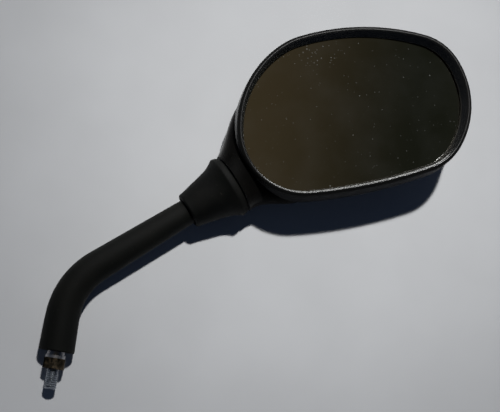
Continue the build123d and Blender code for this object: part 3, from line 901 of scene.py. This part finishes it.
class MIRROR_OT_arm(Operator):
    """Threads the stud of the bent rod and finishes the rod, its ball and the sleeve"""

    bl_idname = "mirror.arm"
    bl_label = "Arm and stud"

    def execute(self, context):
        sizes = context.scene.mirror_sizes
        colours = context.scene.mirror_colours
        # Zinc plating is bright and a little blue, with sharp lengthwise lights.
        zinc = worn_metal(
            "zinc_plated_steel",
            colours.zinc,
            colours.steel,
            roughness=0.26,
            spread=0.14,
            patch=3 * MM,
            amount=0.65,
        )
        rod = capped_tube("threaded_rod", rod_rings(sizes), sharp=35)
        rod.data.materials.append(zinc)
        # From the shoulder's step up, the rod is bare tempered steel.
        rod.data.materials.append(tempered_steel(colours))
        centres = np.empty(3 * len(rod.data.polygons), np.float32)
        rod.data.polygons.foreach_get("center", centres)
        step_room = 0.05 * MM
        bare = centres.reshape(-1, 3)[:, 2] > sizes.shoulder - step_room
        rod.data.polygons.foreach_set("material_index", bare.astype(np.int32))
        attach(rod, "arm")
        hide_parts("arm_rod")
        dress("pivot_ball", zinc)
        # The arm's cover is a matt moulding with a soft sheen and no gloss.
        # Its grain is about 0.3 mm, drawn at 0.9 mm so that it shows.
        cover = moulded(
            "moulded_arm_plastic",
            colours.arm,
            colours.dust,
            roughness=0.66,
            grain=0.9 * MM,
            relief=0.04 * MM,
            specular=0.12,
        )
        dress("arm_sleeve", cover)
        return {"FINISHED"}


class MIRROR_OT_fasteners(Operator):
    """Finishes the lock nut and the spring washer"""

    bl_idname = "mirror.fasteners"
    bl_label = "Nut and washer"

    def execute(self, context):
        colours = context.scene.mirror_colours
        # Oil-browned steel is dull and dark, with rust where the coating has gone.
        browned = worn_metal(
            "browned_steel",
            colours.browned,
            colours.rust,
            roughness=0.42,
            spread=0.25,
            patch=2.2 * MM,
            amount=0.9,
        )
        dress("lock_nut", browned)
        dress("lock_washer", tempered_steel(colours))
        return {"FINISHED"}


class MIRROR_OT_boot(Operator):
    """Turns the rubber boot, which bends between the arm and the head"""

    bl_idname = "mirror.boot"
    bl_label = "Boot"

    def execute(self, context):
        sizes = context.scene.mirror_sizes
        colours = context.scene.mirror_colours
        rings = boot_rings(sizes)
        rows, around = rings.shape[:2]
        quads = ring_grid(rows, around, wrap=True)
        boot = mesh_of("rubber_boot", rings.reshape(-1, 3), [quads], sharp=50)
        # Rubber is matt, with a fine bloom and no sharp light.
        rubber = moulded(
            "boot_rubber",
            colours.rubber,
            colours.dust,
            roughness=0.68,
            grain=1.1 * MM,
            relief=0.05 * MM,
            specular=0.11,
        )
        boot.data.materials.append(rubber)
        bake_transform(boot)
        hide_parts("boot")
        return {"FINISHED"}


class MIRROR_OT_head(Operator):
    """Finishes the housing and makes the rounded bezel"""

    bl_idname = "mirror.head"
    bl_label = "Housing and bezel"

    def execute(self, context):
        sizes = context.scene.mirror_sizes
        colours = context.scene.mirror_colours
        # The housing has an even spark-eroded grain of 0.3 mm, drawn at 0.8 mm so that it shows.
        shell = moulded(
            "housing_plastic",
            colours.housing,
            colours.dust,
            roughness=0.52,
            grain=0.8 * MM,
            relief=0.03 * MM,
            specular=0.02,
            sheen=0.12,
        )
        dress("housing", shell)
        grow, depth, share, polish_and_shade, dust_and_line_share = bezel_profile(sizes)
        rings = rim_rings(sizes, grow, depth, share)
        rows, around = rings.shape[:2]
        quads = ring_grid(rows, around, wrap=True)
        bezel = mesh_of("rounded_bezel", rings.reshape(-1, 3), [quads], sharp=50)
        # Painted highlight: a pale line in the dust's colour along the glass, strongest at the head's
        # low far side.
        lip_highlight = bezel_lip_highlight(sizes, rings, dust_and_line_share).ravel()
        marks = {"polish_and_shade": np.repeat(polish_and_shade, around), "lip_highlight": lip_highlight}
        for name, values in marks.items():
            kept = bezel.data.attributes.new(name, "FLOAT", "POINT")
            kept.data.foreach_set("value", values.astype(np.float32))
        # The bezel's crest and slope are smoother, so that they carry thin bright lines; its matt
        # outer side is painted darker as shade.
        rim = moulded(
            "bezel_plastic",
            colours.bezel,
            colours.dust,
            roughness=0.22,
            grain=2.5 * MM,
            relief=0.003 * MM,
            specular=0.42,
            marked=True,
        )
        bezel.data.materials.append(rim)
        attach(bezel, "head")
        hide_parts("bezel")
        return {"FINISHED"}


class MIRROR_OT_glass(Operator):
    """Silvers the glass and finishes the foam behind it"""

    bl_idname = "mirror.glass"
    bl_label = "Glass and foam"

    def execute(self, context):
        colours = context.scene.mirror_colours
        # Silvered glass mirrors the dim room sharply, and dust on it stays dull.
        silvered = silvered_glass("mirror_glass", colours.silver, colours.dust, DROPS_PLACE)
        dress("mirror_glass", silvered)
        # Foam is dull and open, with cells of about 1 mm.
        cells = moulded(
            "foam",
            colours.foam,
            colours.dust,
            roughness=0.9,
            grain=1.0 * MM,
            relief=0.3 * MM,
            specular=0.1,
        )
        dress("foam_pad", cells)
        return {"FINISHED"}


class MIRROR_OT_clamp(Operator):
    """Finishes the ball's shells, clamp, screws, springs and washers inside the head"""

    bl_idname = "mirror.clamp"
    bl_label = "Ball clamp"

    def execute(self, context):
        colours = context.scene.mirror_colours
        # Acetal is pale and waxy, with a soft even gloss.
        pale = moulded(
            "liner_plastic",
            colours.acetal,
            colours.dust,
            roughness=0.4,
            grain=1.0 * MM,
            relief=0.01 * MM,
            specular=0.5,
        )
        dress("ball_liner_front", pale)
        dress("ball_liner_back", pale)
        # The clamp's plated steel is grey and bright, with a light dull bloom.
        steel = worn_metal(
            "clamp_steel",
            colours.zinc,
            colours.steel,
            roughness=0.3,
            spread=0.15,
            patch=3 * MM,
            amount=0.4,
        )
        for name in ("ball_clamp", "clamp_screws", "clamp_springs", "clamp_washers"):
            dress(name, steel)
        return {"FINISHED"}


def board(name, middle, across, up, half):
    """A flat square on the stage: its middle plus and minus half a side in both directions."""
    signs = np.array([(-1, -1), (1, -1), (1, 1), (-1, 1)])
    points = np.array(middle) + signs[:, :1] * half * np.array(across)
    points = points + signs[:, 1:] * half * np.array(up)
    mesh = bpy.data.meshes.new(name)
    mesh.from_pydata(points.tolist(), [], [(0, 1, 2, 3)])
    made = bpy.data.objects.new(name, mesh)
    bpy.context.scene.collection.objects.link(made)
    return made


def hang(name, data, place, aim, power):
    """Puts a lamp at a place, turned to face the aim, where the camera doesn't see it."""
    data.energy = power
    made = bpy.data.objects.new(name, data)
    bpy.context.scene.collection.objects.link(made)
    made.location = place
    made.rotation_mode = "QUATERNION"
    made.rotation_quaternion = (Vector(aim) - Vector(place)).to_track_quat("-Z", "Y")
    made.visible_camera = False
    return made


def soft_lamp(name, place, aim, width, height, power):
    """A rectangular lamp."""
    data = bpy.data.lights.new(name, "AREA")
    data.shape = "RECTANGLE"
    data.size = width
    data.size_y = height
    return hang(name, data, place, aim, power)


def far_lamp(name, place, aim, radius, cone, power, gloss):
    """A round lamp whose light fades evenly from the cone's middle to its edge. gloss says whether
    shiny surfaces mirror it."""
    data = bpy.data.lights.new(name, "SPOT")
    data.shadow_soft_size = radius
    data.spot_size = cone
    data.spot_blend = 1.0
    made = hang(name, data, place, aim, power)
    made.visible_glossy = gloss
    return made


class MIRROR_OT_stage(Operator):
    """Makes the table, the dim room, the lamps and the camera"""

    bl_idname = "mirror.stage"
    bl_label = "Table, light and camera"

    def execute(self, context):
        scene = context.scene
        stage = scene.mirror_stage
        colours = scene.mirror_colours
        self.table(colours)
        self.room(scene, colours)
        self.lamps(stage)
        self.camera(scene, stage)
        scene.view_settings.view_transform = "Standard"
        return {"FINISHED"}

    def table(self, colours):
        """The mirror lies on its back, so the table stands almost upright behind it in this
        frame."""
        made = board("table", TABLE_MIDDLE, TABLE_ACROSS, TABLE_UP, TABLE_HALF)
        made.data.materials.append(painted_table("painted_table", colours.table))

    def room(self, scene, colours):
        """A pale surround for the camera, dim for all else, and a card that only shiny surfaces
        see, which the glass mirrors."""
        world = bpy.data.worlds.new("dim_room")
        world.use_nodes = True
        tree = world.node_tree
        tree.nodes.clear()
        dim = put(tree, "ShaderNodeBackground", {"Color": colours.surround, "Strength": 1.0})
        pale = put(tree, "ShaderNodeBackground", {"Color": colours.table, "Strength": 1.0})
        seen = put(tree, "ShaderNodeLightPath").outputs["Is Camera Ray"]
        both = put(tree, "ShaderNodeMixShader", {0: seen, 1: dim.outputs[0], 2: pale.outputs[0]})
        put(tree, "ShaderNodeOutputWorld", {"Surface": both.outputs[0]})
        scene.world = world
        card = board("room_card", CARD_MIDDLE, (1, 0, 0), (0, 0, 1), CARD_HALF)
        glow = room_glow(
            "dim_room_card", colours.room, colours.room_far, CARD_SHADE, CARD_MIDDLE, CARD_FADE
        )
        card.data.materials.append(glow)
        card.visible_camera = False
        card.visible_diffuse = False
        card.visible_transmission = False
        card.visible_shadow = False

    def lamps(self, stage):
        """A far lamp with a brighter middle, a long light past the head's top that only gleams on
        shiny surfaces, and a soft one behind the table that doesn't."""
        far_lamp(
            "lamp",
            LAMP_PLACE,
            LAMP_AIM,
            radius=0.30,
            cone=radians(21.8),
            power=stage.key_power,
            gloss=False,
        )
        far_lamp(
            "lamp_pool",
            LAMP_PLACE,
            POOL_AIM,
            radius=0.10,
            cone=radians(3.64),
            power=stage.pool_power,
            gloss=True,
        )
        edge = soft_lamp(
            "edge_light", EDGE_PLACE, LAMP_AIM, width=0.7, height=0.15, power=stage.edge_power
        )
        edge.visible_diffuse = False
        back = soft_lamp(
            "back_light", BACK_PLACE, LAMP_AIM, width=0.9, height=0.9, power=stage.back_power
        )
        back.visible_glossy = False

    def camera(self, scene, stage):
        """The photographer's place above the table."""
        data = bpy.data.cameras.new("camera")
        data.sensor_fit = "HORIZONTAL"
        data.sensor_width = SENSOR_WIDTH
        data.lens = stage.lens
        made = bpy.data.objects.new("camera", data)
        scene.collection.objects.link(made)
        turn = Matrix((CAMERA_RIGHT, CAMERA_UP, CAMERA_BACK)).transposed()
        made.matrix_world = Matrix.LocRotScale(Vector(CAMERA_PLACE), turn.to_quaternion(), None)
        scene.camera = made


class MIRROR_PT_panel(Panel):
    """Lists the pieces and the values they are made from"""

    bl_idname = "MIRROR_PT_panel"
    bl_label = "Mirror"
    bl_space_type = "VIEW_3D"
    bl_region_type = "UI"
    bl_category = "Mirror"

    def draw(self, context):
        for made in PIECES:
            self.layout.operator(made.bl_idname)
        for group in ("mirror_sizes", "mirror_colours", "mirror_stage"):
            holder = getattr(context.scene, group)
            box = self.layout.box()
            for name in holder.__annotations__:
                box.prop(holder, name)


PIECES = (
    MIRROR_OT_stage,
    MIRROR_OT_arm,
    MIRROR_OT_fasteners,
    MIRROR_OT_boot,
    MIRROR_OT_head,
    MIRROR_OT_glass,
    MIRROR_OT_clamp,
)
CLASSES = (MirrorSizes, MirrorColours, MirrorStage, *PIECES, MIRROR_PT_panel)


def register():
    for made in CLASSES:
        bpy.utils.register_class(made)
    bpy.types.Scene.mirror_sizes = PointerProperty(type=MirrorSizes)
    bpy.types.Scene.mirror_colours = PointerProperty(type=MirrorColours)
    bpy.types.Scene.mirror_stage = PointerProperty(type=MirrorStage)


def unregister():
    del bpy.types.Scene.mirror_stage
    del bpy.types.Scene.mirror_colours
    del bpy.types.Scene.mirror_sizes
    for made in reversed(CLASSES):
        bpy.utils.unregister_class(made)


def main():
    register()
    bpy.ops.mirror.stage()
    bpy.ops.mirror.arm()
    bpy.ops.mirror.fasteners()
    bpy.ops.mirror.boot()
    bpy.ops.mirror.head()
    bpy.ops.mirror.glass()
    bpy.ops.mirror.clamp()


if __name__ == "__main__":
    main()
